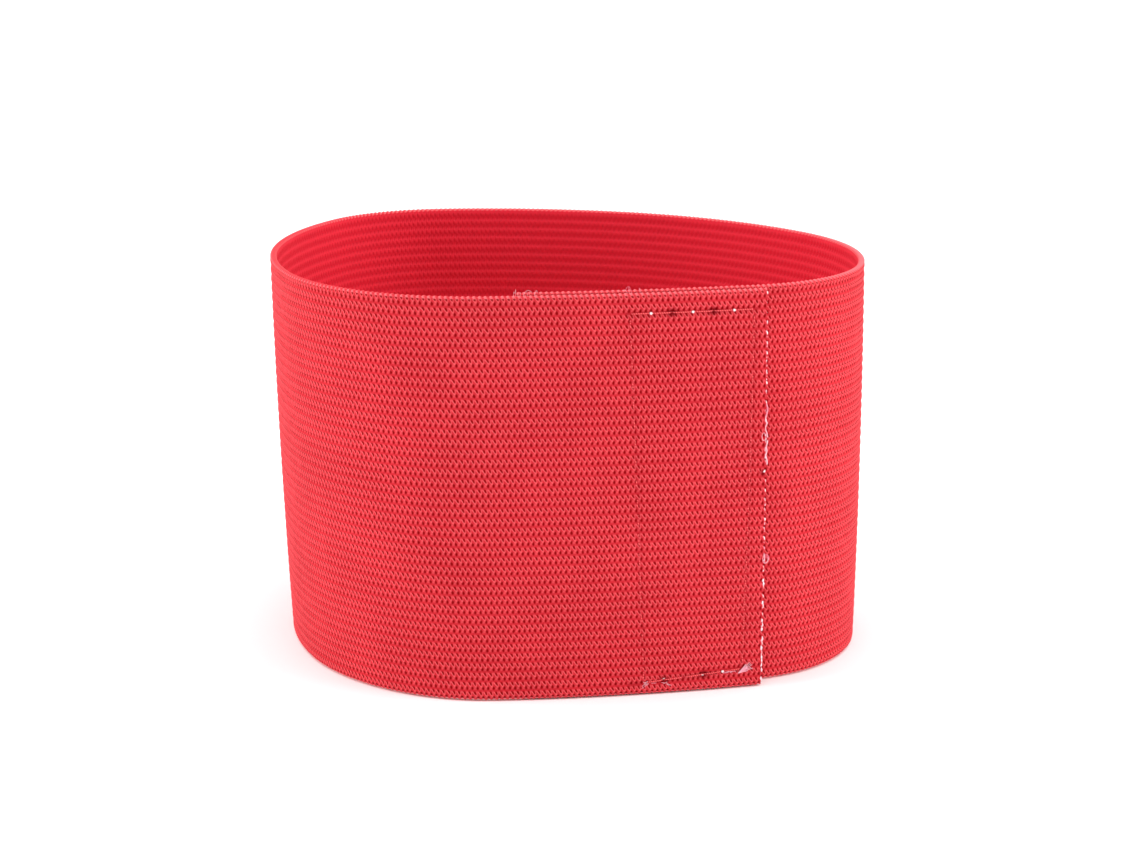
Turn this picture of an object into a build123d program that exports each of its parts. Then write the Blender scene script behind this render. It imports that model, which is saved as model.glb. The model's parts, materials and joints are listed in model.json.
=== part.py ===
from build123d import *
import math
import os

# Woven elastic armband with a hook-and-loop closure, standing on its lower edge.
# +Z is up, +X runs towards the flap's free end, and -Y faces the side that carries the closure.
# Every dimension is in millimetres and every angle in degrees.

# ---- webbing -------------------------------------------------------------------------------
WEB_HEIGHT = 80.0
WEB_THICKNESS = 1.4
RUBBER_COUNT = 41
RUBBER_SIZE = 0.7
RUBBER_EDGE = 1.0
RIB_PITCH = (WEB_HEIGHT - 2 * RUBBER_EDGE) / (RUBBER_COUNT - 1)

# ---- hook-and-loop closure, measured outwards from one webbing face to the other ------------
TAPE_GROUND = 0.3
LOOP_PILE = 0.5
HOOK_LENGTH = 0.5
CLOSURE_GAP = 0.2
CLOSURE_STACK = 2 * TAPE_GROUND + LOOP_PILE + HOOK_LENGTH + CLOSURE_GAP
LAP_STEP = WEB_THICKNESS + CLOSURE_STACK

PILE_MARGIN = 2.0
LOOP_TAPE_START = 1.5
LOOP_TAPE_LENGTH = 42.5
HOOK_TAPE_LENGTH = 27.0
HOOK_TAPE_INSET = 1.0

# ---- lockstitch rectangles -------------------------------------------------------------------
STITCH_PITCH = 2 * RIB_PITCH
STITCH_LENGTH = 3.1
THREAD_WIDTH = 0.3
STITCH_PROUD = 0.2
SEAM_MARGIN = 1.4
# each level row lies in the valley between two ribs, counted from the nearest edge
SEAM_LOW = RUBBER_EDGE + 1.5 * RIB_PITCH
SEAM_HIGH = WEB_HEIGHT - RUBBER_EDGE - 1.5 * RIB_PITCH
TAPE_BOTTOM = SEAM_LOW - SEAM_MARGIN
TAPE_TOP = SEAM_HIGH + SEAM_MARGIN

# ---- plan of the loop ------------------------------------------------------------------------
# The strip starts at the underlap's free end and runs anticlockwise seen from above.
LOOP_START = (-8.88, -46.94)
START_HEADING = 6.0
LAP_LEAD = 1.2
JOINT_GAP = 0.3
UNDERLAP_RADIUS = 300.0
UNDERLAP_TURN = 9.0
FLAP_PARTS = 5

# name, radius, turn, number of parts; the two radii left open are the ones that close the loop
PLAN = [
    ("underlap", UNDERLAP_RADIUS, UNDERLAP_TURN, 1),
    ("right_front", 30.0, 62.0, 3),
    ("right_end", 44.0, 52.0, 2),
    ("back_right", 77.0, 36.0, 2),
    ("back", None, 22.0, 1),
    ("left_back", 30.0, 54.0, 2),
    ("left_end", None, 54.0, 3),
]
# the last corner turns whatever is left of the full circle, less the lap's lead
LAST_TURN = 360.0 - LAP_LEAD - sum(turn for _, _, turn, _ in PLAN)
PLAN.append(("left_front", 39.0, LAST_TURN, 3))


def outward(heading):
    """Unit vector out of the loop for a strip that runs along this heading."""
    angle = math.radians(heading)
    return Vector(math.sin(angle), -math.cos(angle), 0)


def closing_radii():
    """The two open radii of PLAN, so that the flap starts LAP_STEP outside the underlap."""
    start = outward(START_HEADING)
    lapped = outward(START_HEADING - LAP_LEAD) * (UNDERLAP_RADIUS + LAP_STEP)
    missing = lapped - start * UNDERLAP_RADIUS
    open_steps = []
    heading = START_HEADING
    for _, radius, turn, _ in PLAN:
        step = outward(heading + turn) - outward(heading)
        if radius is None:
            open_steps.append(step)
        else:
            missing -= step * radius
        heading += turn
    first, second = open_steps
    area = first.X * second.Y - first.Y * second.X
    return [
        (missing.X * second.Y - missing.Y * second.X) / area,
        (first.X * missing.Y - first.Y * missing.X) / area,
    ]


def lay_out():
    """Every part of the strip in order: its name, centre, radius, first heading and turn."""
    solved = iter(closing_radii())
    heading = START_HEADING
    point = Vector(*LOOP_START)
    parts = []
    for name, radius, turn, count in PLAN:
        radius = radius or next(solved)
        centre = point - outward(heading) * radius
        for index in range(count):
            label = name if count == 1 else f"{name}_{index + 1}"
            parts.append((label, centre, radius, heading + index * turn / count, turn / count))
        heading += turn
        point = centre + outward(heading) * radius
    centre = parts[0][1]
    flap_turn = (UNDERLAP_TURN + LAP_LEAD) / FLAP_PARTS
    for index in range(FLAP_PARTS):
        first = START_HEADING - LAP_LEAD + index * flap_turn
        label = f"flap_{index + 1}"
        parts.append((label, centre, UNDERLAP_RADIUS + LAP_STEP, first, flap_turn))
    return parts


def arc_length(part):
    """Length of a part along the middle of the webbing."""
    return math.radians(part[4]) * part[2]


def swept(part, profile, start, end):
    """A radial profile, drawn with X outwards from the webbing's middle, swept from start to end."""
    _, centre, radius, heading, _ = part
    first = heading + math.degrees(start / radius)
    normal = outward(first)
    plane = Plane(origin=centre + normal * radius, x_dir=normal, z_dir=normal.cross(Vector(0, 0, 1)))
    sweep = math.degrees((end - start) / radius)
    return revolve(plane * profile, axis=Axis(centre, (0, 0, 1)), revolution_arc=sweep)


def slab(part, inner, outer, bottom, top, start, end):
    """A curved slab between two distances from the webbing's middle and two heights."""
    middle = ((inner + outer) / 2, (bottom + top) / 2)
    return swept(part, Pos(*middle) * Rectangle(outer - inner, top - bottom), start, end)


def rubber_heights():
    return [RUBBER_EDGE + index * RIB_PITCH for index in range(RUBBER_COUNT)]


def free_ends(part, parts):
    """Where a part's solids start and end: half a joint gap in, except at the strip's own ends."""
    start = 0.0 if part is parts[0] else JOINT_GAP / 2
    end = arc_length(part) - (0.0 if part is parts[-1] else JOINT_GAP / 2)
    return start, end


def webbing(part, start, end):
    """The woven strip, with a tunnel round every rubber thread."""
    section = Pos(0, WEB_HEIGHT / 2) * Rectangle(WEB_THICKNESS, WEB_HEIGHT)
    tunnels = [Pos(0, z) * Rectangle(RUBBER_SIZE, RUBBER_SIZE) for z in rubber_heights()]
    return swept(part, section - tunnels, start, end)


def rubber_threads(part, start, end):
    """The rubber warp threads, one in each rib."""
    half = RUBBER_SIZE / 2
    threads = [slab(part, -half, half, z - half, z + half, start, end) for z in rubber_heights()]
    return Compound(children=threads)


def tape_and_pile(part, face, side, pile, start, end, first_edge, last_edge):
    """A tape's woven ground against a webbing face, and its hooks or loops inside the sewing margin."""
    ground = sorted((face, face + side * TAPE_GROUND))
    field = sorted((face + side * TAPE_GROUND, face + side * (TAPE_GROUND + pile)))
    field_start = start + (PILE_MARGIN if first_edge else 0)
    field_end = end - (PILE_MARGIN if last_edge else 0)
    return (
        slab(part, *ground, TAPE_BOTTOM, TAPE_TOP, start, end),
        slab(part, *field, TAPE_BOTTOM + PILE_MARGIN, TAPE_TOP - PILE_MARGIN, field_start, field_end),
    )


def stitch(part, outer, inner, position, height, along):
    """One lockstitch: thread across both faces and a leg through the layers at each end."""
    half = THREAD_WIDTH / 2
    reach = STITCH_LENGTH / 2
    run, rise = (reach, half) if along else (half, reach)
    bottom, top, start, end = height - rise, height + rise, position - run, position + run
    low, high = inner - STITCH_PROUD, outer + STITCH_PROUD
    solids = [
        slab(part, outer, high, bottom, top, start, end),
        slab(part, low, inner, bottom, top, start, end),
    ]
    for side in (-reach, reach):
        x, z = (position + side, height) if along else (position, height + side)
        solids.append(slab(part, low, high, z - half, z + half, x - half, x + half))
    return solids[0].fuse(*solids[1:])


def seam(part, outer, inner, start, end, first_edge, last_edge):
    """The stitches of one sewn rectangle that fall on this part."""
    stitches = []
    first = start + (SEAM_MARGIN if first_edge else 0)
    last = end - (SEAM_MARGIN if last_edge else 0)
    count = int((last - first) / STITCH_PITCH)
    spare = (last - first - count * STITCH_PITCH) / 2
    for index in range(count):
        middle = first + spare + (index + 0.5) * STITCH_PITCH
        for height in (SEAM_LOW, SEAM_HIGH):
            stitches.append(stitch(part, outer, inner, middle, height, True))
    rows = round((SEAM_HIGH - SEAM_LOW) / STITCH_PITCH)
    for index in range(rows):
        height = SEAM_LOW + (index + 0.5) * STITCH_PITCH
        if first_edge:
            stitches.append(stitch(part, outer, inner, first, height, False))
        if last_edge:
            stitches.append(stitch(part, outer, inner, last, height, False))
    return Compound(children=stitches)


def loop_side(part):
    """Loop tape, loop pile and their seam on the underlap's outer face."""
    face = WEB_THICKNESS / 2
    start = LOOP_TAPE_START
    end = start + LOOP_TAPE_LENGTH
    ground, pile = tape_and_pile(part, face, 1, LOOP_PILE, start, end, True, True)
    thread = seam(part, face + TAPE_GROUND, -face, start, end, True, True)
    return {"loop_tape": ground, "loop_pile": pile, "loop_tape_seam": thread}


def hook_side(parts):
    """Hook tape, hooks and their seam inside the flap, cut at each place where the flap bends."""
    face = -WEB_THICKNESS / 2
    flap = parts[-FLAP_PARTS:]
    total = sum(arc_length(part) for part in flap)
    tape_end = total - HOOK_TAPE_INSET
    tape_start = tape_end - HOOK_TAPE_LENGTH
    nodes = {}
    begin = 0.0
    for part in flap:
        length = arc_length(part)
        free_start, free_end = free_ends(part, parts)
        start = max(tape_start - begin, free_start)
        end = min(tape_end - begin, free_end)
        if start < end:
            edges = (start > free_start, end < free_end)
            number = part[0].split("_")[1]
            ground, hooks = tape_and_pile(part, face, -1, HOOK_LENGTH, start, end, *edges)
            nodes[f"hook_tape_{number}"] = ground
            nodes[f"hooks_{number}"] = hooks
            thread = seam(part, -face, face - TAPE_GROUND, start, end, *edges)
            nodes[f"hook_tape_seam_{number}"] = thread
        begin += length
    return nodes


def model():
    """Every node's name and solid."""
    parts = lay_out()
    nodes = {}
    for part in parts:
        start, end = free_ends(part, parts)
        nodes[f"webbing_{part[0]}"] = webbing(part, start, end)
        nodes[f"rubber_{part[0]}"] = rubber_threads(part, start, end)
    nodes.update(loop_side(parts[0]))
    nodes.update(hook_side(parts))
    return nodes


if __name__ == "__main__":
    os.makedirs("parts", exist_ok=True)
    strip = sum(arc_length(part) for part in lay_out())
    print(f"strip {strip:.1f} mm long, closing radii {closing_radii()}")
    for name, solid in model().items():
        solid.label = name
        export_step(solid, f"parts/{name}.step")
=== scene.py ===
# %% [markdown]
# # An elastic armband with a hook-and-loop closure
# The object is one wide strip of woven elastic, closed into a loop by a flap that sticks to the
# strip's other end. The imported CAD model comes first, because it fixes the size, the hinges and
# the frame that everything else is placed in.

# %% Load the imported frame
import bpy
import json
import math
import numpy as np
from mathutils import Matrix, Vector

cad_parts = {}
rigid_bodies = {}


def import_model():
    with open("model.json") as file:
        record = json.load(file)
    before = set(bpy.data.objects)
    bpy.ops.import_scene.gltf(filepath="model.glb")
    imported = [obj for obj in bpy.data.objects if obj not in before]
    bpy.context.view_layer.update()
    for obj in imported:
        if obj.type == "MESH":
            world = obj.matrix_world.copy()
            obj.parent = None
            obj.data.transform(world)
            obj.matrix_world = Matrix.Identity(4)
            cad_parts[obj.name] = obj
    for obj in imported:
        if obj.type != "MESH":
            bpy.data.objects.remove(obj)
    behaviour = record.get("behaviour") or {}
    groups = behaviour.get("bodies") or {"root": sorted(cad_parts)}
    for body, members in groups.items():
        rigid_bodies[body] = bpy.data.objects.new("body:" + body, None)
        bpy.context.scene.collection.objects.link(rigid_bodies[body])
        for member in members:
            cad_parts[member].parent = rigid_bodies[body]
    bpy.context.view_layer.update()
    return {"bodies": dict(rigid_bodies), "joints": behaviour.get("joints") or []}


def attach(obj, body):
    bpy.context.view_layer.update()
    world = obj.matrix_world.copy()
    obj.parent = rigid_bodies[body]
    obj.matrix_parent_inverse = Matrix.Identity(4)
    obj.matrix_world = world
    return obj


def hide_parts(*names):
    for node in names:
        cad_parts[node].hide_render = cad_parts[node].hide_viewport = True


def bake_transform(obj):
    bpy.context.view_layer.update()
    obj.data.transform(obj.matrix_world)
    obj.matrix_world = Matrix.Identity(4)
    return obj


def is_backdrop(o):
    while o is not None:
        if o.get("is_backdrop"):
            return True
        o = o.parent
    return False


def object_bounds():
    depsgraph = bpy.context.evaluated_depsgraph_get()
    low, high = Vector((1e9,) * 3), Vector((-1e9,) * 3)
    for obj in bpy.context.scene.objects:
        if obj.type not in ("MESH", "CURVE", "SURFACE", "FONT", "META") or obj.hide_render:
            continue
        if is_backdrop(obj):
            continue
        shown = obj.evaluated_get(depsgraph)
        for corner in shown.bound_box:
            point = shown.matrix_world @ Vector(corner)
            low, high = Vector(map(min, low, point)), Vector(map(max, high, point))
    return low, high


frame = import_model()
BODIES = list(frame["bodies"])

# %% [markdown]
# ## The strip's own coordinates
# Every piece here belongs to one flexible strip, so each one is worked out flat and then laid
# along the loop. A flat point has three numbers in millimetres: how far along the strip it is,
# how far out from the middle of the webbing, and how high. The loop is a chain of arcs, and the
# hinges of the frame sit on the webbing's outer face where the arcs meet. A chord between two
# hinges and the heading at its start are enough to give each arc's radius and turn.

# %% Read the loop's arcs from the hinges
WEB_HEIGHT = 80.0
HALF_WEB = 0.7
START_HEADING = math.radians(6.0)
UNDERLAP_RADIUS, UNDERLAP_TURN = 300.0, math.radians(9.0)
FLAP_RADIUS, LAST_TURN = 303.2, math.radians(2.04)


def outward(heading):
    """The level direction out of the loop, for a strip that runs along this heading."""
    return np.array([math.sin(heading), -math.cos(heading)])


def hinge_between(first, second):
    joint = next(j for j in frame["joints"] if {j["parent"], j["child"]} == {first, second})
    return np.array(joint["pos_m"][:2]) * 1000


hinges = [hinge_between(a, b) for a, b in zip(BODIES, BODIES[1:])]
heading = START_HEADING + UNDERLAP_TURN
first_centre = hinges[0] - outward(heading) * (UNDERLAP_RADIUS + HALF_WEB)
arcs = [(first_centre, UNDERLAP_RADIUS, START_HEADING, UNDERLAP_TURN)]
for here, there in zip(hinges, hinges[1:]):
    chord = there - here
    swing = math.atan2(chord[1], chord[0]) - heading
    turn = 2 * math.atan2(math.sin(swing), math.cos(swing))
    outer = np.linalg.norm(chord) / (2 * math.sin(turn / 2))
    arcs.append((here - outward(heading) * outer, outer - HALF_WEB, heading, turn))
    heading += turn
arcs.append((hinges[-1] - outward(heading) * (FLAP_RADIUS + HALF_WEB), FLAP_RADIUS, heading, LAST_TURN))

ARC_CENTRE = np.array([arc[0] for arc in arcs])
ARC_RADIUS = np.array([arc[1] for arc in arcs])
ARC_HEADING = np.array([arc[2] for arc in arcs])
ARC_LENGTH = ARC_RADIUS * np.array([arc[3] for arc in arcs])
ARC_START = np.concatenate([[0.0], np.cumsum(ARC_LENGTH)[:-1]])
STRIP_LENGTH = float(ARC_LENGTH.sum())
FLAP_START = float(ARC_START[-5])
MIDDLE = ARC_START + ARC_LENGTH / 2
print(f"strip {STRIP_LENGTH:.1f} mm long, flap from {FLAP_START:.1f} mm, radii {ARC_RADIUS.round(1)}")

# %% [markdown]
# A soft loop never stands quite square. Its lower edge is slightly smaller than its upper edge
# and sits a little to one side, and one corner tucks in at the bottom. These small shifts are part
# of the rule that places every point, so no piece can drift away from its neighbours.

# %% Lay flat points along the loop
LEAN = np.array([1.35, 0.09])
TAPER = np.array([0.0179, 0.0097])
BELLY = 0.0003
TUCK, TUCK_WIDTH = 1.3, 24.0
TUCK_ALONG = float(ARC_START[BODIES.index("left_front_2")])


def place(along, out, up):
    """Where points of the strip stand in the frame, from millimetres to metres."""
    along, out, up = np.broadcast_arrays(*(np.asarray(v, float) for v in (along, out, up)))
    arc = np.clip(np.searchsorted(ARC_START, along, side="right") - 1, 0, len(BODIES) - 1)
    heading = ARC_HEADING[arc] + (along - ARC_START[arc]) / ARC_RADIUS[arc]
    down = 1 - up / WEB_HEIGHT
    tuck = TUCK * down**2 * np.exp(-(((along - TUCK_ALONG) / TUCK_WIDTH) ** 2))
    reach = ARC_RADIUS[arc] + out - tuck
    x = ARC_CENTRE[arc, 0] + reach * np.sin(heading)
    y = ARC_CENTRE[arc, 1] - reach * np.cos(heading)
    x = x * (1 - TAPER[0] * down + BELLY * up * down) + LEAN[0] * down
    y = y * (1 - TAPER[1] * down) + LEAN[1] * down
    return np.stack([x, y, up], axis=-1) / 1000


def bend(piece):
    """Bakes the piece's placement into its mesh."""
    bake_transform(piece)


print("flap's free end stands at", (place(STRIP_LENGTH, 0, 0) * 1000).round(1))

# %% [markdown]
# ## From flat points to a mesh
# Sheets are made in mesh code, because a weave needs thousands of evenly spaced rows. Each mesh
# keeps its flat coordinates in an attribute called "strip", and the materials read that, so a
# pattern follows the cloth round every bend and stays on it when the flap peels open.

# %% Make a strip piece
def strip_mesh(name, flat, faces):
    """A smooth-shaded object from flat points (along, out, up), with those kept as an attribute."""
    mesh = bpy.data.meshes.new(name)
    mesh.from_pydata(place(*flat.T).tolist(), [], faces)
    kept = mesh.attributes.new("strip", "FLOAT_VECTOR", "POINT")
    kept.data.foreach_set("vector", flat.astype(np.float32).ravel())
    mesh.polygons.foreach_set("use_smooth", np.ones(len(mesh.polygons), bool))
    piece = bpy.data.objects.new(name, mesh)
    bpy.context.collection.objects.link(piece)
    return piece


def ladder_faces(columns, ring, rungs):
    """Quads of a tube of so many columns of ring points, and of the rungs across its two ends."""
    first = np.arange(columns - 1)[:, None] * ring
    here = np.arange(ring)[None, :]
    there = (here + 1) % ring
    walls = np.stack([first + here, first + ring + here, first + ring + there, first + there], -1)
    step = np.arange(rungs - 1)
    start_cap = np.stack([step, step + 1, ring - 2 - step, ring - 1 - step], -1)
    end_cap = start_cap[:, ::-1] + (columns - 1) * ring
    return np.concatenate([walls.reshape(-1, 4), start_cap, end_cap]).tolist()


# %% [markdown]
# ## Node helpers
# Every finish below is drawn by nodes. Three short helpers keep those cells readable: one adds a
# node and fills its sockets, one does arithmetic and one fades smoothly between two values.

# %% Helpers for shader nodes
def add_node(tree, kind, sockets=None, **settings):
    """A new node with its options set and its inputs filled with numbers or linked to other sockets."""
    node = tree.nodes.new(kind)
    for key, value in settings.items():
        setattr(node, key, value)
    for key, value in (sockets or {}).items():
        if isinstance(value, bpy.types.NodeSocket):
            tree.links.new(value, node.inputs[key])
        else:
            node.inputs[key].default_value = value
    return node


def calc(tree, operation, *values):
    return add_node(tree, "ShaderNodeMath", dict(enumerate(values)), operation=operation).outputs[0]


def fade(tree, value, low, high, at_low=0.0, at_high=1.0):
    sockets = {"Value": value, "From Min": low, "From Max": high, "To Min": at_low, "To Max": at_high}
    return add_node(tree, "ShaderNodeMapRange", sockets, interpolation_type="SMOOTHSTEP").outputs[0]


def tint(tree, amount, under, over):
    """The colour under, changed towards the colour over by amount."""
    return add_node(tree, "ShaderNodeMix", {0: amount, 6: under, 7: over}, data_type="RGBA").outputs[2]


def dye(red, green, blue):
    """A colour given as 0 to 255, as dyers' charts do, in the linear values that nodes need."""
    shares = [number / 255 for number in (red, green, blue)]
    linear = [((s + 0.055) / 1.055) ** 2.4 if s > 10 / 255 else s / 12.92 for s in shares]
    return (*linear, 1.0)


def new_group(name, inputs, outputs):
    """A shader node group with its sockets made: the group and its input and output nodes."""
    group = bpy.data.node_groups.new(name, "ShaderNodeTree")
    for label, kind in inputs:
        group.interface.new_socket(label, in_out="INPUT", socket_type=kind)
    for label, kind in outputs:
        group.interface.new_socket(label, in_out="OUTPUT", socket_type=kind)
    return group, group.nodes.new("NodeGroupInput"), group.nodes.new("NodeGroupOutput")


def new_material(name):
    """An empty node material: its tree, its shader and the socket that carries the strip attribute."""
    material = bpy.data.materials.new(name)
    material.use_nodes = True
    tree = material.node_tree
    shader = tree.nodes["Principled BSDF"]
    flat = add_node(tree, "ShaderNodeAttribute", attribute_name="strip").outputs["Vector"]
    return material, tree, shader, flat


def place_group(tree, group, sockets):
    return add_node(tree, "ShaderNodeGroup", sockets, node_tree=group)


print("node helpers ready")

# %% [markdown]
# ## Yarn variation
# No dyed yarn is one even colour. Soft patches where the yarn takes more or less dye, and a fine
# fuzz of broken fibres, are shared by every woven piece, so they are one node group.

# %% Group: yarn variation
yarn, yarn_in, yarn_out = new_group(
    "yarn variation",
    [("Strip", "NodeSocketVector"), ("Patch Size", "NodeSocketFloat")],
    [("Patches", "NodeSocketFloat"), ("Fuzz", "NodeSocketFloat")],
)
patch_scale = calc(yarn, "DIVIDE", 1.0, yarn_in.outputs["Patch Size"])
where = yarn_in.outputs["Strip"]
noises = {
    "Patches": {"Vector": where, "Scale": patch_scale, "Detail": 3.0},
    "Fuzz": {"Vector": where, "Scale": 4.0, "Detail": 4.0, "Roughness": 0.7},
}
for label, settings in noises.items():
    yarn.links.new(add_node(yarn, "ShaderNodeTexNoise", settings).outputs[0], yarn_out.inputs[label])
print("group", yarn.name)

# %% [markdown]
# ## The ribbed weave
# Forty-one rubber threads run along the strip and each one raises a rib. The polyester yarn that
# binds them leaves two rows of small pits for each rib, half a cell apart, and it dips round each
# slanting pit of the lower row as a small V. The pits are coloured dark as painted shade, the V and
# the yarn beside the pits are coloured pale as painted highlight, and a darker band between the
# rows of pits is painted shade. The pattern is drawn with arithmetic on the flat coordinates: one
# number counts cells along the strip, another the phase within a rib.

# %% Sizes of the weave
CELL = 1.05
RIB_COUNT = 41
EDGE_TO_RUBBER = 1.0
RIB_PITCH = (WEB_HEIGHT - 2 * EDGE_TO_RUBBER) / (RIB_COUNT - 1)
RIDGE_PHASE, LOWER_PITS = 0.78, 0.54
print(f"rib pitch {RIB_PITCH:.3f} mm, {STRIP_LENGTH / CELL:.0f} cells along the strip")

# %% Group: rib weave
weave, weave_in, weave_out = new_group(
    "rib weave",
    [("Strip", "NodeSocketVector")],
    [(label, "NodeSocketFloat") for label in ("Pits", "Strokes", "Shade Band", "Lit Ridge", "Selvedge", "Beads")],
)
wander_settings = {"Vector": weave_in.outputs["Strip"], "Scale": 0.45, "Detail": 2.0}
wander = add_node(weave, "ShaderNodeTexNoise", wander_settings)
jitter = calc(weave, "MULTIPLY", calc(weave, "SUBTRACT", wander.outputs[0], 0.5), 0.5)
flat_xyz = add_node(weave, "ShaderNodeSeparateXYZ", {0: weave_in.outputs["Strip"]})
along, out, up = flat_xyz.outputs
cells = calc(weave, "ADD", calc(weave, "DIVIDE", along, CELL), calc(weave, "ADD", jitter, 10.0))
cell = calc(weave, "FRACT", cells)
rib = calc(weave, "DIVIDE", calc(weave, "SUBTRACT", EDGE_TO_RUBBER, up), RIB_PITCH)
ribs_down = calc(weave, "ADD", rib, 50 + RIDGE_PHASE)
phase = calc(weave, "FRACT", calc(weave, "ADD", ribs_down, calc(weave, "MULTIPLY", jitter, 0.12)))


def wrapped(value):
    """Distance to the nearest whole number."""
    moved = calc(weave, "FRACT", calc(weave, "ADD", value, 0.5))
    return calc(weave, "ABSOLUTE", calc(weave, "SUBTRACT", moved, 0.5))


def oval(tall, wide, half_height, half_width):
    """1 inside an oval spot and 0 outside it, with a soft rim."""
    sizes = ((tall, half_height), (wide, half_width))
    parts = [calc(weave, "POWER", calc(weave, "DIVIDE", offset, size), 2.0) for offset, size in sizes]
    return fade(weave, calc(weave, "ADD", *parts), 0.35, 1.35, 1.0, 0.0)


upper_pits = oval(wrapped(phase), wrapped(cell), 0.21, 0.21)
below = calc(weave, "SUBTRACT", phase, LOWER_PITS)
past_middle = calc(weave, "SUBTRACT", cell, 0.5)
slanted = calc(weave, "SUBTRACT", past_middle, calc(weave, "MULTIPLY", below, 0.7))
lower_pits = oval(calc(weave, "ABSOLUTE", below), wrapped(slanted), 0.2, 0.2)
# the yarn dips under each slanting pit as a V: its arms close in towards the pit's lower end
half_gap = calc(weave, "MULTIPLY", calc(weave, "SUBTRACT", 0.86, phase), 0.9)
half_gap = calc(weave, "MAXIMUM", half_gap, 0.0)
off_arm = calc(weave, "ABSOLUTE", calc(weave, "SUBTRACT", wrapped(slanted), half_gap))
right_arm_weaker = fade(weave, slanted, -0.1, 0.1, 1.0, 0.6)
arms = calc(weave, "MULTIPLY", fade(weave, off_arm, 0.04, 0.22, 1.0, 0.0), right_arm_weaker)
in_rows = fade(weave, phase, 0.86, 1.0, 1.0, 0.0)
in_rows = calc(weave, "MULTIPLY", fade(weave, phase, 0.22, 0.48), in_rows)
beside_pits = fade(weave, wrapped(phase), 0.05, 0.25, 0.45, 0.0)
beside_pits = calc(weave, "MULTIPLY", fade(weave, wrapped(cell), 0.2, 0.45), beside_pits)
strokes = calc(weave, "MAXIMUM", calc(weave, "MULTIPLY", arms, in_rows), beside_pits)
from_middle = calc(weave, "ABSOLUTE", calc(weave, "SUBTRACT", up, WEB_HEIGHT / 2))
bead_turn = calc(weave, "ADD", calc(weave, "DIVIDE", along, CELL), calc(weave, "MULTIPLY", up, 0.7))
bead_wave = calc(weave, "SINE", calc(weave, "MULTIPLY", bead_turn, 2 * math.pi))
# The pits and strokes are the weave's shapes. They are used for bump, and also for painted shade in the
# pits and painted highlight on the strokes. The band output marks where the cloth lies lower between
# the rows of pits, for painted shade. The ridge output marks each rib's crest, for a painted highlight
# on the inner face. The selvedge and bead outputs mark the bead chain along each edge, whose pale
# crests are painted highlight.
for label, value in (
    ("Pits", calc(weave, "MAXIMUM", upper_pits, lower_pits)),
    ("Strokes", strokes),
    ("Shade Band", fade(weave, wrapped(calc(weave, "SUBTRACT", phase, 0.29)), 0.08, 0.2, 1.0, 0.0)),
    ("Lit Ridge", fade(weave, wrapped(calc(weave, "SUBTRACT", phase, RIDGE_PHASE)), 0.05, 0.45, 1.0, 0.0)),
    ("Selvedge", fade(weave, from_middle, 39.4, 39.65)),
    ("Beads", fade(weave, bead_wave, -0.8, 0.8)),
):
    weave.links.new(value, weave_out.inputs[label])
print("group", weave.name, "with", len(weave.nodes), "nodes")

# %% [markdown]
# ## Webbing material
# The outer face takes its pits and strokes from the rib weave. The pits and a band between their
# rows are coloured darker as painted shade, and the strokes are coloured paler as painted
# highlight. The inner face shows the same ribs with the pits nearly closed, so it is smoother and
# deeper in colour, with a painted highlight along each rib's crest and a little painted shade in
# its pits. A little sheen gives the pale bloom that brushed polyester shows where it turns away
# from the eye.

# %% Material: woven elastic
elastic, tree, shader, flat = new_material("woven elastic")
ribs = place_group(tree, weave, {"Strip": flat}).outputs
dyed = place_group(tree, yarn, {"Strip": flat, "Patch Size": 12.0}).outputs
# the attribute read here carries painted shade for the seam's trough, its open needle holes and the
# nick in the raw edge
painted_seam_shade = add_node(tree, "ShaderNodeAttribute", attribute_name="sewn").outputs["Fac"]
side = add_node(tree, "ShaderNodeSeparateXYZ", {0: flat}).outputs[1]
outside = fade(tree, side, -0.1, 0.1)

body_red = tint(tree, fade(tree, dyed["Patches"], 0.3, 0.7), dye(197, 40, 50), dye(211, 47, 57))
# painted shade: a darker band where the cloth lies lower between the rows of pits
face = tint(tree, calc(tree, "MULTIPLY", ribs["Shade Band"], 0.35), body_red, dye(192, 26, 40))
# painted highlight: the yarn's V strokes and the yarn beside the pits are coloured paler
face = tint(tree, calc(tree, "MULTIPLY", ribs["Strokes"], 0.8), face, dye(246, 98, 104))
# painted shade: the pits are coloured dark red
face = tint(tree, calc(tree, "MULTIPLY", ribs["Pits"], 0.95), face, dye(140, 0, 4))
# painted highlight along each rib's crest on the inner face
lining = tint(tree, calc(tree, "MULTIPLY", ribs["Lit Ridge"], 0.8), dye(214, 34, 52), dye(238, 52, 70))
# a little painted shade in the inner face's pits
lining = tint(tree, calc(tree, "MULTIPLY", ribs["Pits"], 0.1), lining, dye(140, 0, 12))
colour = tint(tree, outside, lining, face)
# the bead chain along each edge is real; its pale pink crests are painted highlight
bead_chain_and_highlight = tint(tree, ribs["Beads"], dye(214, 52, 62), dye(255, 112, 118))
colour = tint(tree, ribs["Selvedge"], colour, bead_chain_and_highlight)
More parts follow.
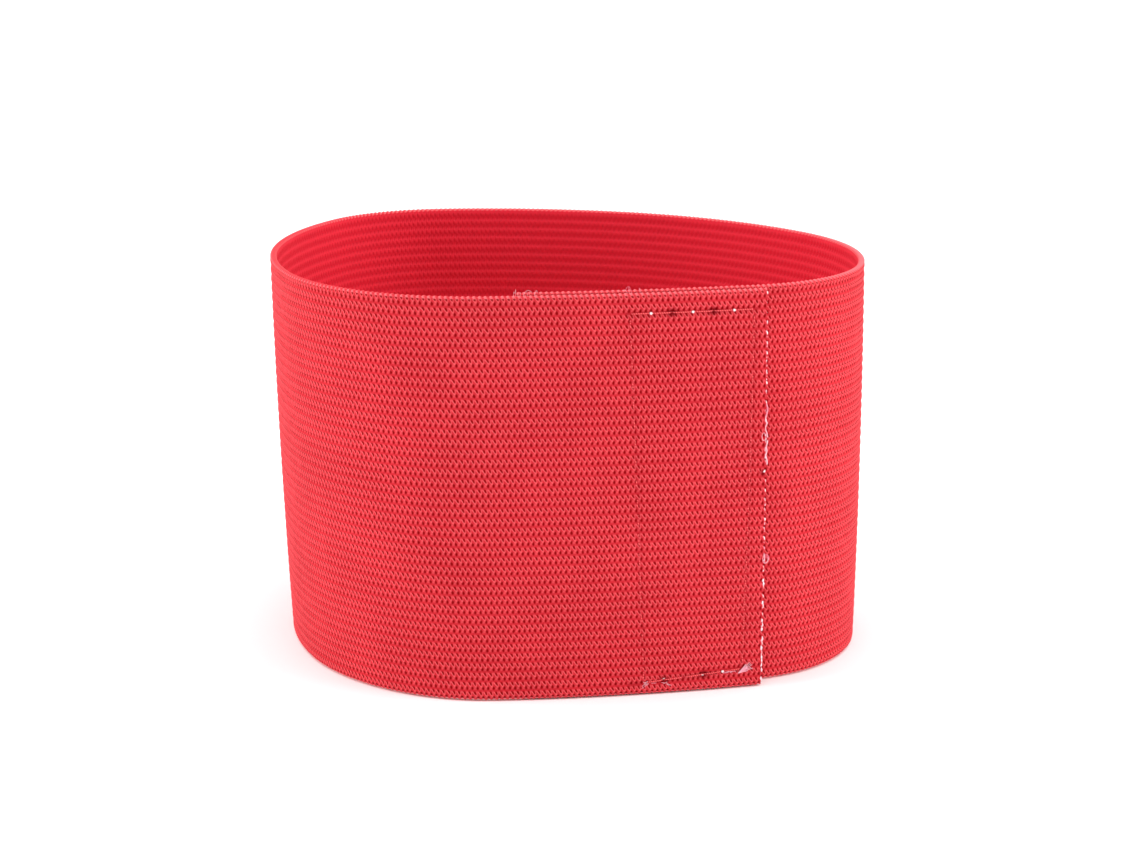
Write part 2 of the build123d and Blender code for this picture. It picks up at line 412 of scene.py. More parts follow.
# painted shade in the seam's trough, the open needle holes and the nick in the raw edge
colour = tint(tree, calc(tree, "MULTIPLY", painted_seam_shade, 0.95), colour, dye(120, 0, 10))
colour = tint(tree, fade(tree, dyed["Fuzz"], 0.62, 0.8, 0.0, 0.35), colour, dye(255, 120, 124))
rise = calc(tree, "SUBTRACT", calc(tree, "MULTIPLY", ribs["Strokes"], 0.5), ribs["Pits"])
rise = calc(tree, "ADD", rise, calc(tree, "MULTIPLY", dyed["Fuzz"], 0.5))
bump = add_node(tree, "ShaderNodeBump", {"Height": rise, "Strength": 0.6, "Distance": 0.0002})
tree.links.new(colour, shader.inputs["Base Color"])
tree.links.new(fade(tree, dyed["Fuzz"], 0.2, 0.8, 0.62, 0.85), shader.inputs["Roughness"])
tree.links.new(bump.outputs[0], shader.inputs["Normal"])
shader.inputs["Specular IOR Level"].default_value = 0.06
shader.inputs["Sheen Weight"].default_value = 0.25
shader.inputs["Sheen Roughness"].default_value = 0.3
shader.inputs["Sheen Tint"].default_value = dye(255, 128, 130)
print("material", elastic.name)

# %% [markdown]
# ## Webbing
# The strip is cut in the middle of each stiff portion of the frame, never at a hinge, so each
# webbing piece lies across one hinge and meets its neighbours where nothing moves. Its section is
# a ring of points: up the outer face in six rows to a rib, round the selvedge and down the inner
# face. Columns stand half a cell apart, and every other one dips at the upper or the lower pits.

# %% Rows of the webbing's section
RIB_ROWS = [  # phase below the upper pits, then how far out the face is at even and at odd columns
    (0.0, 0.42, 0.60),
    (0.19, 0.55, 0.57),
    (0.38, 0.58, 0.54),
    (LOWER_PITS, 0.58, 0.42),
    (0.71, 0.68, 0.62),
    (0.85, 0.70, 0.70),
]
rows = []
for number in range(-1, RIB_COUNT + 1):
    ridge_up = EDGE_TO_RUBBER + number * RIB_PITCH
    for phase_down, even, odd in RIB_ROWS:
        height = ridge_up + (RIDGE_PHASE - phase_down) * RIB_PITCH
        if 0.5 < height < WEB_HEIGHT - 0.5:
            swell = 0.07 * math.cos(2 * math.pi * (phase_down - RIDGE_PHASE))
            rows.append((height, even, odd, 0.62 + swell))
for lift, even, odd in ((0.0, 0.28, 0.16), (0.14, 0.55, 0.40), (0.36, 0.70, 0.58)):
    rows += [(lift, even, odd, even), (WEB_HEIGHT - lift, odd, even, odd)]
ROW_UP, ROW_EVEN, ROW_ODD, ROW_INNER = np.array(sorted(rows)).T
print(len(ROW_UP), "rows on each face")

# %% [markdown]
# The flap's stitches pull the webbing in, so a shallow trough follows the sewn rectangle, with a
# deeper hole where the needle passed and no thread fills it. The trough and the holes are also
# coloured darker, as painted shade. The trough is worked out from the same seam layout that the
# stitches use later.

# %% Layout of the flap's seam
STITCH = 3.9
HOOK_TAPE_LENGTH, HOOK_TAPE_INSET, SEAM_MARGIN = 27.0, 1.0, 1.4
HOOK_END = STRIP_LENGTH - HOOK_TAPE_INSET
HOOK_START = HOOK_END - HOOK_TAPE_LENGTH
SEAM_LEFT, SEAM_RIGHT = HOOK_START + SEAM_MARGIN, HOOK_END - SEAM_MARGIN
SEAM_TOP, SEAM_FOOT = 76.07, 3.0
LOW_ROW_SHIFT = 1.6
top_ends = np.linspace(SEAM_LEFT, SEAM_RIGHT, round((SEAM_RIGHT - SEAM_LEFT) / STITCH) + 1)
low_ends = top_ends[1:] - LOW_ROW_SHIFT
open_top, open_low = top_ends[2:-1:2], low_ends[1:-1:2]


def seam_bottom(along):
    """The lower row isn't sewn level: it climbs a little towards the flap's end."""
    return 2.2 + 1.75 * (np.asarray(along) - SEAM_LEFT) / (SEAM_RIGHT - SEAM_LEFT)


def seam_sides(up):
    """The two upright rows lean in a little towards the bottom, where the lower row is shorter."""
    share = (SEAM_TOP - np.asarray(up)) / (SEAM_TOP - SEAM_FOOT)
    return [top_ends[end] + (low_ends[end] - top_ends[end]) * share for end in (0, -1)]


def trough(along, up):
    """How strongly the seam pulls at these points, from 0 to 1."""
    inside = (up > seam_bottom(along) - 0.5) & (up < SEAM_TOP + 0.5)
    near_rows = np.minimum(abs(up - SEAM_TOP), abs(up - seam_bottom(along)))
    near_rows = np.where((along > SEAM_LEFT - 1) & (along < SEAM_RIGHT + 0.5), near_rows, 9)
    left, right = seam_sides(up)
    near_sides = np.where(inside, np.minimum(abs(along - left), abs(along - right)), 9)
    return np.maximum(np.exp(-((near_rows / 0.55) ** 2)), 0.6 * np.exp(-((near_sides / 0.5) ** 2)))


def needle_holes(along, up):
    """1 in the middle of each open needle hole, at every other stitch end of the two level rows."""
    pull = np.zeros(np.broadcast(along, up).shape)
    for end, row_up in [(s, SEAM_TOP) for s in open_top] + [(s, seam_bottom(s)) for s in open_low]:
        hole = np.exp(-(((along - end) / 0.8) ** 2) - ((up - row_up) / 0.7) ** 2)
        pull = np.maximum(pull, hole)
    return pull


print("open holes at", open_top.round(1), open_low.round(1))

# %% Work out the whole strip's surface once
COLUMNS = np.arange(round(STRIP_LENGTH / (CELL / 2)) + 1)
RING = 2 * len(ROW_UP)
# the nick is a real dent, and the dark gap in it is also painted shade, further down
NOTCH_UP = 43.8  # where a small nick in the raw edge lets a dark gap show
column_along = np.minimum(COLUMNS * CELL / 2, STRIP_LENGTH)[:, None]
outer = np.where((COLUMNS % 2 == 1)[:, None], ROW_ODD, ROW_EVEN)
inner = np.broadcast_to(-ROW_INNER, outer.shape)
on_flap = column_along > FLAP_START
sewn = np.where(on_flap, trough(column_along, ROW_UP), 0.0)
holes = np.where(on_flap, needle_holes(column_along, ROW_UP), 0.0)
nick = np.exp(-(((column_along - STRIP_LENGTH) / 0.9) ** 2) - ((ROW_UP - NOTCH_UP) / 0.6) ** 2)
nick = np.where(on_flap, nick, 0.0)
ring_out = np.concatenate([outer - 0.16 * sewn - 0.35 * holes - 0.5 * nick, inner[:, ::-1]], axis=1)
ring_up = np.tile(np.concatenate([ROW_UP, ROW_UP[::-1]]), (len(COLUMNS), 1))
near_edge = np.clip(abs(ring_up - WEB_HEIGHT / 2) - (WEB_HEIGHT / 2 - 1), 0, 1)
ring_up -= np.sign(ring_up - WEB_HEIGHT / 2) * 0.22 * near_edge * (COLUMNS % 2 == 0)[:, None]
surface = np.stack([np.broadcast_to(column_along, ring_out.shape), ring_out, ring_up], -1)
# painted shade: the seam's trough, the open needle holes and the nick are darkened in colour as well as
# dented
outer_painted_shade = np.clip(0.3 * sewn + 1.2 * holes + 1.5 * nick, 0, 1)
painted_shade = np.concatenate([outer_painted_shade, np.zeros_like(inner)], axis=1)
placed = place(*np.moveaxis(surface, -1, 0))
round_section = np.roll(placed, -1, axis=1) - np.roll(placed, 1, axis=1)
facing = np.cross(np.gradient(placed, axis=0), round_section)
facing /= np.linalg.norm(facing, axis=-1, keepdims=True)
print("strip surface of", surface.shape[0], "columns by", surface.shape[1], "points")

# %% [markdown]
# Neighbouring pieces must look like one cloth. If each piece worked out its own shading normals,
# its last column would lean differently from its neighbour's first, and a dark line would show at
# every cut. So the normals are worked out for the whole strip at once and given to each piece.

# %% Build one webbing piece
def webbing_piece(name, start, end):
    """The woven strip between two columns, shaded with the whole strip's normals."""
    flat = surface[start : end + 1].reshape(-1, 3)
    faces = ladder_faces(end - start + 1, RING, len(ROW_UP))
    piece = strip_mesh(name, flat, faces)
    # this attribute carries painted shade for the seam's trough, the open needle holes and the nick
    mark = piece.data.attributes.new("sewn", "FLOAT", "POINT")
    mark.data.foreach_set("value", painted_shade[start : end + 1].astype(np.float32).ravel())
    corners = np.zeros(len(piece.data.loops), np.int32)
    piece.data.loops.foreach_get("vertex_index", corners)
    normals = facing[start : end + 1].reshape(-1, 3)[corners]
    normals[(end - start) * RING * 4 :] = 0
    piece.data.normals_split_custom_set(normals)
    piece.data.materials.append(elastic)
    return piece


webbing = []
cuts = [0, *(round(m / (CELL / 2)) for m in MIDDLE[1:-1]), COLUMNS[-1]]
for index, (start, end) in enumerate(zip(cuts, cuts[1:])):
    piece = webbing_piece(f"webbing_{index + 1}", start, end)
    bend(piece)
    stood_for = [f"webbing_{BODIES[index + 1]}"] + ([f"webbing_{BODIES[0]}"] if index == 0 else [])
    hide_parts(*stood_for)
    webbing.append(piece)
print(len(webbing), "webbing pieces,", sum(len(p.data.polygons) for p in webbing), "faces")

# %% [markdown]
# ## Small parts, modelled once and laid on the strip
# Threads, hooks and loops are each modelled flat at their real size with ordinary operators: X is
# along the strip, Y is up and Z is out of the cloth. A helper then takes the finished shape's
# points and lays many copies on the strip, so every copy bends with the cloth beneath it.

# %% Helpers for modelling one small part
def start_fresh():
    """Nothing selected, and object mode, before a primitive is added."""
    if bpy.context.object and bpy.context.object.mode != "OBJECT":
        bpy.ops.object.mode_set(mode="OBJECT")
    bpy.ops.object.select_all(action="DESELECT")


def select_verts(test):
    """In edit mode, selects only the vertices for which test(position) is true."""
    bpy.ops.mesh.select_all(action="DESELECT")
    bpy.ops.mesh.select_mode(type="VERT")
    bpy.ops.object.mode_set(mode="OBJECT")
    for vertex in bpy.context.object.data.vertices:
        vertex.select = bool(test(vertex.co))
    bpy.ops.object.mode_set(mode="EDIT")


def taken():
    """The finished shape's points and faces. Its object is then removed."""
    bpy.ops.object.mode_set(mode="OBJECT")
    model = bpy.context.object
    model.data.transform(model.matrix_world)
    points = np.array([v.co for v in model.data.vertices], float)
    faces = [list(p.vertices) for p in model.data.polygons]
    bpy.data.objects.remove(model)
    return points, faces


def laid(name, shapes, material):
    """One piece from many copies. Each entry is (shape, spot, turn, size, side): spot is along, out
    and up, turn is about the outward axis, and side is 1 on the outer face or -1 on the inner."""
    flat, faces, count = [], [], 0
    for (points, polygons), spot, turn, size, side in shapes:
        x, y, z = (points * size).T
        x, y = x * math.cos(turn) - y * math.sin(turn), x * math.sin(turn) + y * math.cos(turn)
        flat.append(np.stack([spot[0] + x, spot[1] + side * z, spot[2] + side * y], -1))
        faces += [[count + corner for corner in polygon] for polygon in polygons]
        count += len(points)
    piece = strip_mesh(name, np.concatenate(flat), faces)
    piece.data.materials.append(material)
    return piece


print("helpers ready")

# %% [markdown]
# ## Rubber threads
# Each rib holds one rubber thread, covered by the weave and seen only at the strip's two cut
# ends, where it springs back or stands out by a fraction of a millimetre. The threads are plain
# eight-sided rods along the strip, because only their ends are ever seen.

# %% Material: rubber
rubber, tree, shader, flat = new_material("rubber thread")
mottle = place_group(tree, yarn, {"Strip": flat, "Patch Size": 1.5}).outputs
stain = fade(tree, mottle["Patches"], 0.35, 0.65)
gum = tint(tree, stain, dye(255, 232, 232), dye(240, 170, 180))
tree.links.new(gum, shader.inputs["Base Color"])
tree.links.new(fade(tree, mottle["Fuzz"], 0.2, 0.8, 0.5, 0.8), shader.inputs["Roughness"])
print("material", rubber.name)

# %% Rubber threads, one bundle for each webbing piece
chance = np.random.default_rng(7)
ROD = 0.3
rod_angles = np.arange(8) * math.pi / 4
rib_heights = EDGE_TO_RUBBER + np.arange(RIB_COUNT) * RIB_PITCH


def rubber_bundle(name, start, end, proud_start, proud_end):
    """Forty-one rods between two places along the strip, each end standing proud by its own amount."""
    flat, faces = [], []
    stations = np.linspace(start, end, 5)
    for number, height in enumerate(rib_heights):
        places = stations.copy()
        places[0] -= proud_start[number]
        places[-1] += proud_end[number]
        base = len(flat) * 8 * len(places)
        ring = [(s, ROD * math.sin(a), height + ROD * math.cos(a)) for s in places for a in rod_angles]
        flat.append(ring)
        for step in range(len(places) - 1):
            for side in range(8):
                a, b = base + step * 8 + side, base + step * 8 + (side + 1) % 8
                faces.append([a, b, b + 8, a + 8])
        faces.append([base + side for side in range(7, -1, -1)])
        faces.append([base + (len(places) - 1) * 8 + side for side in range(8)])
    piece = strip_mesh(name, np.array(flat, float).reshape(-1, 3), faces)
    piece.data.materials.append(rubber)
    return piece


none_proud = np.zeros(RIB_COUNT)
for index, (start, end) in enumerate(zip(cuts, cuts[1:])):
    at_start = chance.uniform(0.05, 0.3, RIB_COUNT) if index == 0 else none_proud
    at_end = chance.uniform(0.1, 0.35, RIB_COUNT) if index == len(cuts) - 2 else none_proud
    span = (start * CELL / 2, min(end * CELL / 2, STRIP_LENGTH))
    piece = rubber_bundle(f"rubber_{index + 1}", *span, at_start, at_end)
    bend(piece)
    stood_for = [f"rubber_{BODIES[index + 1]}"] + ([f"rubber_{BODIES[0]}"] if index == 0 else [])
    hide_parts(*stood_for)
print(len(cuts) - 1, "rubber bundles")

# %% [markdown]
# ## Tapes
# Hook tape is sewn inside the flap and loop tape on the outer face of the underlap. Each starts
# as a thin woven ground. A plain weave is drawn from the flat coordinates as a fine check of raised
# and sunken threads, with the sunken places coloured darker as painted shade, and the tape's cut
# edges are left a little uneven.

# %% Group: plain weave
plain, plain_in, plain_out = new_group(
    "plain weave",
    [("Strip", "NodeSocketVector"), ("Threads per mm", "NodeSocketFloat")],
    [("Height", "NodeSocketFloat")],
)
plain_xyz = add_node(plain, "ShaderNodeSeparateXYZ", {0: plain_in.outputs["Strip"]}).outputs
waves = []
for axis in (0, 2):
    threads = calc(plain, "MULTIPLY", plain_xyz[axis], plain_in.outputs["Threads per mm"])
    waves.append(calc(plain, "SINE", calc(plain, "MULTIPLY", threads, 2 * math.pi)))
plain.links.new(fade(plain, calc(plain, "MULTIPLY", *waves), -1.0, 1.0), plain_out.inputs["Height"])
print("group", plain.name)

# %% Material: tape ground
tape_cloth, tree, shader, flat = new_material("tape ground")
check = place_group(tree, plain, {"Strip": flat, "Threads per mm": 1.6}).outputs["Height"]
worn = place_group(tree, yarn, {"Strip": flat, "Patch Size": 6.0}).outputs
# painted shade: the weave's sunken places are coloured darker than its raised ones
cloth = tint(tree, check, dye(182, 164, 164), dye(218, 206, 204))
cloth = tint(tree, fade(tree, worn["Patches"], 0.45, 0.75, 0.0, 0.4), cloth, dye(222, 164, 166))
tree.links.new(cloth, shader.inputs["Base Color"])
tree.links.new(fade(tree, worn["Fuzz"], 0.2, 0.8, 0.65, 0.9), shader.inputs["Roughness"])
bump = add_node(tree, "ShaderNodeBump", {"Height": check, "Strength": 0.7, "Distance": 0.0001})
tree.links.new(bump.outputs[0], shader.inputs["Normal"])
print("material", tape_cloth.name)

# %% Tape grounds
TAPE_BOTTOM, TAPE_TOP, GROUND = 1.3, 77.475, 0.3
LOOP_START, LOOP_END = 1.5, 44.0


def tape_piece(name, start, end, face, side):
    """A thin sheet on one face of the webbing, with slightly uneven upper and lower edges."""
    along = np.linspace(start, end, max(3, round((end - start) / 0.8) + 1))
    share = np.linspace(0, 1, 96)
    wave = 0.12 * np.sin(along * 1.7)[:, None]
    up = TAPE_BOTTOM + wave + (TAPE_TOP - TAPE_BOTTOM) * share[None, :]
    near, far = sorted((face, face + side * GROUND))
    ring_up = np.concatenate([up, up[:, ::-1]], axis=1)
    ring_out = np.concatenate([np.full_like(up, far), np.full_like(up, near)], axis=1)
    ring_along = np.broadcast_to(along[:, None], ring_up.shape)
    flat = np.stack([ring_along, ring_out, ring_up], -1).reshape(-1, 3)
    piece = strip_mesh(name, flat, ladder_faces(len(along), ring_up.shape[1], len(share)))
    walls = (len(along) - 1) * ring_up.shape[1]
    piece.data.polygons.foreach_set("use_smooth", np.arange(len(piece.data.polygons)) < walls)
    piece.data.materials.append(tape_cloth)
    return piece


FLAP_4 = BODIES.index("flap_4")
hook_cut = float(MIDDLE[FLAP_4])
loop_tape = tape_piece("loop_tape_ground", LOOP_START, LOOP_END, HALF_WEB, 1)
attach(loop_tape, "underlap")
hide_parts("loop_tape")
hook_spans = [(HOOK_START, hook_cut, FLAP_4 - 1, ["3"]), (hook_cut, HOOK_END, FLAP_4, ["4", "5"])]
for number, (start, end, index, stood_for) in enumerate(hook_spans):
    piece = tape_piece(f"hook_tape_ground_{number + 1}", start, end, -HALF_WEB, -1)
    bend(piece)
    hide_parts(*(f"hook_tape_{n}" for n in stood_for))
print("loop tape and two portions of hook tape")

# %% [markdown]
# ## Hooks and loops
# A hook is a stiff nylon cane: a short stem that turns over in a crook. It is modelled from a
# five-sided disc, extruded for the stem and spun for the crook. A loop is a soft ring that stands
# in the ground. Hooks stand in straight rows, as they are woven, and loops lie every way.

# %% Materials: hooks and loops
nylon, tree, shader, flat = new_material("hook nylon")
tone = place_group(tree, yarn, {"Strip": flat, "Patch Size": 3.0}).outputs
cane = tint(tree, tone["Patches"], dye(208, 196, 194), dye(234, 226, 224))
tree.links.new(cane, shader.inputs["Base Color"])
tree.links.new(fade(tree, tone["Fuzz"], 0.2, 0.8, 0.3, 0.5), shader.inputs["Roughness"])

fluff, tree, shader, flat = new_material("loop pile")
tone = place_group(tree, yarn, {"Strip": flat, "Patch Size": 2.0}).outputs
down = tint(tree, tone["Patches"], dye(214, 190, 190), dye(236, 224, 222))
tree.links.new(down, shader.inputs["Base Color"])
tree.links.new(fade(tree, tone["Fuzz"], 0.2, 0.8, 0.7, 0.95), shader.inputs["Roughness"])
shader.inputs["Sheen Weight"].default_value = 0.3
print("materials", nylon.name, fluff.name)

# %% Model one hook
start_fresh()
bpy.ops.mesh.primitive_circle_add(vertices=5, radius=0.07, fill_type="NGON", location=(0, 0, -0.05))
bpy.ops.object.mode_set(mode="EDIT")
bpy.ops.mesh.select_all(action="SELECT")
bpy.ops.mesh.extrude_region_move(TRANSFORM_OT_translate={"value": (0, 0, 0.3)})
bpy.ops.mesh.spin(steps=4, angle=math.radians(190), center=(0.13, 0, 0.25), axis=(0, 1, 0))
bpy.ops.mesh.select_all(action="SELECT")
bpy.ops.mesh.remove_doubles(threshold=0.001)
bpy.ops.mesh.normals_make_consistent(inside=False)
hook = taken()
print("hook:", len(hook[1]), "faces, box", hook[0].min(0).round(2), hook[0].max(0).round(2))

# %% Model one loop
start_fresh()
bpy.ops.mesh.primitive_torus_add(
    major_segments=9, minor_segments=3, major_radius=0.27, minor_radius=0.035
)
bpy.ops.object.mode_set(mode="EDIT")
bpy.ops.mesh.select_all(action="SELECT")
bpy.ops.transform.rotate(value=math.pi / 2, orient_axis="X", center_override=(0, 0, 0))
bpy.ops.transform.resize(value=(0.8, 1, 1))
bpy.ops.transform.translate(value=(0, 0, 0.14))
loop = taken()
print("loop:", len(loop[1]), "faces, box", loop[0].min(0).round(2), loop[0].max(0).round(2))

# %% Lay the loops and hooks
PILE_INSET = 2.0
loops = []
for s in np.arange(LOOP_START + PILE_INSET, LOOP_END - PILE_INSET, 1.15):
    for z in np.arange(TAPE_BOTTOM + PILE_INSET, TAPE_TOP - PILE_INSET, 1.3):
        spot = (s + chance.uniform(-0.4, 0.4), HALF_WEB + GROUND, z + chance.uniform(-0.4, 0.4))
        loops.append((loop, spot, chance.uniform(0, math.pi), chance.uniform(0.8, 1.1), 1))
pile = laid("loop_pile", loops, fluff)
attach(pile, "underlap")
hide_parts("loop_pile")

for number, (start, end, index, stood_for) in enumerate(hook_spans):
    low, high = max(start, HOOK_START + PILE_INSET), min(end, HOOK_END - PILE_INSET)
    hooks = []
    for row, s in enumerate(np.arange(low + 0.3, high - 0.2, 1.35)):
        for z in np.arange(TAPE_BOTTOM + PILE_INSET + 0.6 * (row % 2), TAPE_TOP - PILE_INSET, 1.5):
            turn = (math.pi if row % 2 else 0.0) + chance.uniform(-0.2, 0.2)
            hooks.append((hook, (s, -HALF_WEB - GROUND, z), turn, chance.uniform(0.92, 1.05), -1))
    piece = laid(f"hooks_{number + 1}", hooks, nylon)
    bend(piece)
    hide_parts(*(f"hooks_{n}" for n in stood_for))
    print(piece.name, len(hooks), "hooks")
print(len(loops), "loops,", len(pile.data.polygons), "faces")

# %% [markdown]
# ## Sewing thread
# A rectangle of lockstitch holds each tape. The needle thread is red and lies in the trough on
# the webbing's outer face. The bobbin thread is white and lies on the other side, and it shows
# as a white dot wherever the needle thread pulls its knot to the surface. A stitch starts as a
# cylinder, gets two cuts near each end, and its ends are pushed down into the cloth.

# %% Group and materials: sewing threads
twist, twist_in, twist_out = new_group(
    "thread twist", [("Strip", "NodeSocketVector")], [("Height", "NodeSocketFloat")]
)
twist_xyz = add_node(twist, "ShaderNodeSeparateXYZ", {0: twist_in.outputs["Strip"]}).outputs
slope = calc(twist, "ADD", twist_xyz[0], calc(twist, "MULTIPLY", twist_xyz[2], 0.8))
plies_wave = calc(twist, "SINE", calc(twist, "MULTIPLY", slope, 14.0))
twist.links.new(fade(twist, plies_wave, -1.0, 1.0), twist_out.inputs["Height"])


def thread_material(name, dark, light):
    """Twisted thread, with painted shade between its plies and a painted highlight on them."""
    material, tree, shader, flat = new_material(name)
    plies = place_group(tree, twist, {"Strip": flat}).outputs["Height"]
    # painted shade between the plies and painted highlight on them
    tree.links.new(tint(tree, plies, dark, light), shader.inputs["Base Color"])
    bump = add_node(tree, "ShaderNodeBump", {"Height": plies, "Strength": 0.6, "Distance": 0.00006})
    tree.links.new(bump.outputs[0], shader.inputs["Normal"])
    tree.links.new(fade(tree, plies, 0.0, 1.0, 0.7, 0.45), shader.inputs["Roughness"])
    return material


needle_red = thread_material("needle thread", dye(196, 24, 36), dye(255, 92, 96))
bobbin_white = thread_material("bobbin thread", dye(236, 214, 216), dye(255, 250, 250))
print("materials", needle_red.name, bobbin_white.name)

# %% Model one stitch and one knot
start_fresh()
bpy.ops.mesh.primitive_cylinder_add(vertices=6, radius=0.14, depth=STITCH, rotation=(0, math.pi / 2, 0))
bpy.ops.object.transform_apply(rotation=True)
bpy.ops.object.mode_set(mode="EDIT")
for cut in (-1.6, -1.1, 0.0, 1.1, 1.6):
    bpy.ops.mesh.select_all(action="SELECT")
    bpy.ops.mesh.bisect(plane_co=(cut, 0, 0), plane_no=(1, 0, 0))
select_verts(lambda co: abs(co.x) > 1.5)
bpy.ops.transform.translate(value=(0, 0, -0.1))
select_verts(lambda co: abs(co.x) > 1.8)
bpy.ops.transform.translate(value=(0, 0, -0.3))
stitch = taken()

start_fresh()
bpy.ops.mesh.primitive_ico_sphere_add(subdivisions=1, radius=0.3)
bpy.ops.object.mode_set(mode="EDIT")
bpy.ops.mesh.select_all(action="SELECT")
bpy.ops.transform.resize(value=(1.1, 1.0, 0.7))
knot = taken()
print("stitch:", len(stitch[1]), "faces; knot:", len(knot[1]), "faces")

# %% Lay the flap's seam and the loop tape's seam
SIDE_STITCHES = round((SEAM_TOP - SEAM_FOOT) / STITCH)


def row_stitches(ends, heights, out, side):
    """Stitches end to end along a row, at the height that the row has at each end."""
    spots = zip(ends, ends[1:], heights, heights[1:])
    return [
        (stitch, ((a + b) / 2, out, (low + high) / 2), side * math.atan2(high - low, b - a), 1.0, side)
        for a, b, low, high in spots
    ]


def column_stitches(top, low, bottom, out, side):
    """Stitches end to end up one side of a sewn rectangle, from its lower end to its top end."""
    steps = np.linspace(0, 1, SIDE_STITCHES + 1)
    lean = side * math.atan2(SEAM_TOP - bottom, top - low)
    shares = (steps[1:] + steps[:-1]) / 2
    return [
        (stitch, (low + (top - low) * t, out, bottom + (SEAM_TOP - bottom) * t), lean, 0.95, side)
        for t in shares
    ]


def rectangle_stitches(ends, low_ends, low, out, side, side_out):
    """A whole sewn rectangle: its upper row, its lower row at the heights given, and its two sides."""
    made = row_stitches(ends, np.full(len(ends), SEAM_TOP), out, side)
    made += row_stitches(low_ends, low, out, side)
    for end in (0, -1):
        made += column_stitches(ends[end], low_ends[end], low[end], side_out, side)
    return made


under_tape = -HALF_WEB - GROUND - 0.02
top_side = rectangle_stitches(top_ends, low_ends, seam_bottom(low_ends), 0.5, 1, 0.38)
back_side = rectangle_stitches(top_ends, low_ends, seam_bottom(low_ends), under_tape, -1, under_tape)
knots = [(knot, (end, 0.52, SEAM_TOP), 0.0, 1.0, 1) for end in top_ends[1::2]]
knots.append((knot, (low_ends[-2], 0.52, float(seam_bottom(low_ends[-2]))), 0.0, 1.0, 1))


def join_in(name, pieces):
    """Joins pieces into the first one, which keeps each one's material."""
    start_fresh()
    for piece in pieces:
        piece.select_set(True)
    bpy.context.view_layer.objects.active = pieces[0]
    bpy.ops.object.join()
    pieces[0].name = name
    return pieces[0]


for number, (start, end, index, stood_for) in enumerate(hook_spans):
    in_span = [s for s in top_side if (s[1][0] < hook_cut) == (number == 0)]
    under = [s for s in back_side + knots if (s[1][0] < hook_cut) == (number == 0)]
    threads = [laid("needle", in_span, needle_red), laid("bobbin", under, bobbin_white)]
    seam = join_in(f"flap_seam_{number + 1}", threads)
    bend(seam)
    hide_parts(*(f"hook_tape_seam_{n}" for n in stood_for))
loop_ends = np.linspace(LOOP_START + 1.4, LOOP_END - 1.4, 11)
loop_row = (loop_ends, loop_ends, np.full(len(loop_ends), TAPE_BOTTOM + 1.4))
over, under = HALF_WEB + GROUND, -HALF_WEB + 0.04
loop_needle = laid("needle", rectangle_stitches(*loop_row, over, 1, over), needle_red)
loop_bobbin = laid("bobbin", rectangle_stitches(*loop_row, under, -1, under), bobbin_white)
loop_seam = join_in("loop_tape_stitches", [loop_needle, loop_bobbin])
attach(loop_seam, "underlap")
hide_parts("loop_tape_seam")
print(len(top_side), "needle stitches and", len(knots), "knots on the flap")

# %% [markdown]
# ## The cut edge and stray fibres
# The flap's end is cut and left raw. Pale yarn and rubber show there as a broken line of small
# tufts, with a longer loose strand half way up and a curled one lower down. A few more fibres
# stand over the upper rim, where the hidden ends fray. Tufts are copies of one pinched ball, and
# fibres are curves with a little thickness, turned into meshes and laid on the strip.

# %% Material: frayed yarn
def frayed_yarn(name, pink_low, pink_high):
    """Cut yarn ends, with the share of pink in them low on the strip and high on it."""
    made, tree, shader, flat = new_material(name)
    tuft_tone = place_group(tree, yarn, {"Strip": flat, "Patch Size": 2.5}).outputs
    height = add_node(tree, "ShaderNodeSeparateXYZ", {0: flat}).outputs[2]
    by_height = fade(tree, height, 22.0, 30.0, pink_low, pink_high)
    pinkness = calc(tree, "ADD", by_height, fade(tree, tuft_tone["Patches"], 0.4, 0.7, 0.0, 0.5))
    fluff_colour = tint(tree, pinkness, dye(255, 240, 246), dye(236, 118, 146))
    tree.links.new(fluff_colour, shader.inputs["Base Color"])
    tree.links.new(fade(tree, tuft_tone["Fuzz"], 0.2, 0.8, 0.7, 0.95), shader.inputs["Roughness"])
    shader.inputs["Sheen Weight"].default_value = 0.3
    return made


frayed = frayed_yarn("frayed yarn", 0.0, 0.5)
pink_fray = frayed_yarn("frayed pink yarn", 0.5, 0.5)
print("materials", frayed.name, "and", pink_fray.name)

# %% Model one tuft
start_fresh()
bpy.ops.mesh.primitive_ico_sphere_add(subdivisions=1, radius=0.5)
bpy.ops.object.mode_set(mode="EDIT")
bpy.ops.mesh.select_all(action="SELECT")
bpy.ops.transform.resize(value=(0.55, 1.15, 0.6))
select_verts(lambda co: co.y > 0.3)
bpy.ops.transform.resize(value=(0.5, 1.0, 0.5))
tuft = taken()
print("tuft:", len(tuft[1]), "faces")

# %% Lay the tufts down the flap's cut edge
tufts = []
LARGE_BELOW = 27.0
for up in np.arange(1.2, 79.0, 0.95):
    if abs(up - 44) < 1 or chance.random() < 0.25:
        continue
    size = chance.uniform(0.75, 1.15) if up < LARGE_BELOW else chance.uniform(0.45, 0.75)
    s, out = STRIP_LENGTH + chance.uniform(-0.1, 0.1), chance.uniform(0.3, 0.55)
    spot = (s, out, up + chance.uniform(-0.25, 0.25))
    tufts.append((tuft, spot, chance.uniform(-0.35, 0.35), size, 1))
cut_edge = laid("cut_edge_tufts", tufts, frayed)
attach(cut_edge, "flap_5")
print(len(tufts), "tufts")

